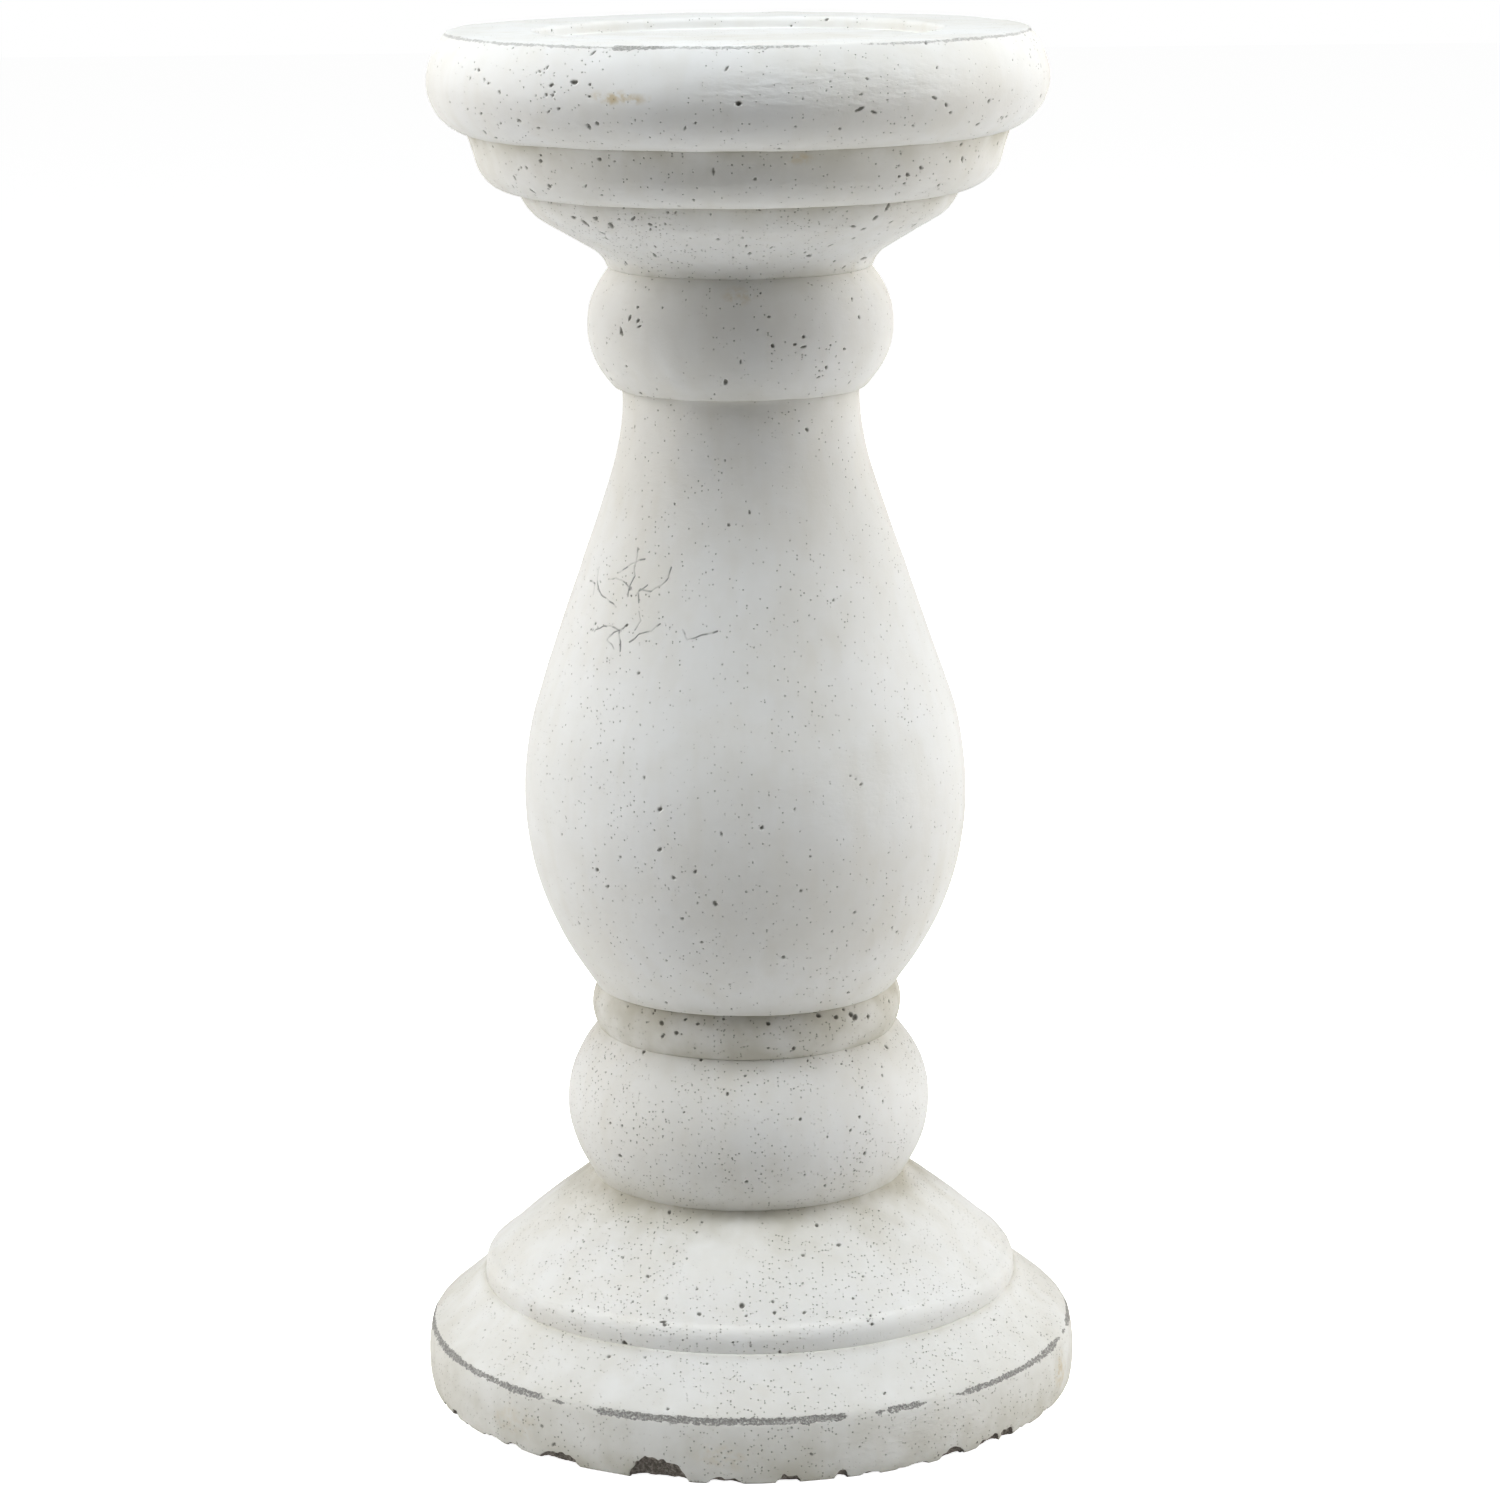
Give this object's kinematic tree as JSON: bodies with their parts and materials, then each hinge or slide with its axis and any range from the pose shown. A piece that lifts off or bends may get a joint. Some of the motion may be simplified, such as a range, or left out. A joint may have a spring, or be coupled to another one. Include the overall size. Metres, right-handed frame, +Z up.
{
  "type": "pillar candle holder",
  "caption": "Baluster-stem pillar-candle holder in off-white cast cement, with a wide rolled-rim dish and a round stepped base, held on a steel tie rod.",
  "frame": {"origin": "on the stem's axis, in the plane the base stands on", "axes": "+Z up along the stem's axis, towards the candle; the outline is the same all round, so +X and +Y are free"},
  "size_m": [0.1838, 0.1838, 0.38],
  "materials": {
    "cast_cement": "chalky off-white wash over cast cement, pinholed, chipped and worn at the edges",
    "zinc_steel": "dull zinc-plated steel",
    "felt": "dense wool felt"
  },
  "bodies": {
    "root": {"plinth": "cast_cement", "foot": "cast_cement", "lower_bulb": "cast_cement", "collar": "cast_cement", "baluster": "cast_cement", "neck_ball": "cast_cement", "cup": "cast_cement", "step_disc": "cast_cement", "dish": "cast_cement", "tie_rod": "zinc_steel", "rod_anchor": "zinc_steel", "rod_washer": "zinc_steel", "rod_nut": "zinc_steel", "base_pad": "felt"}
  },
  "joints": []
}
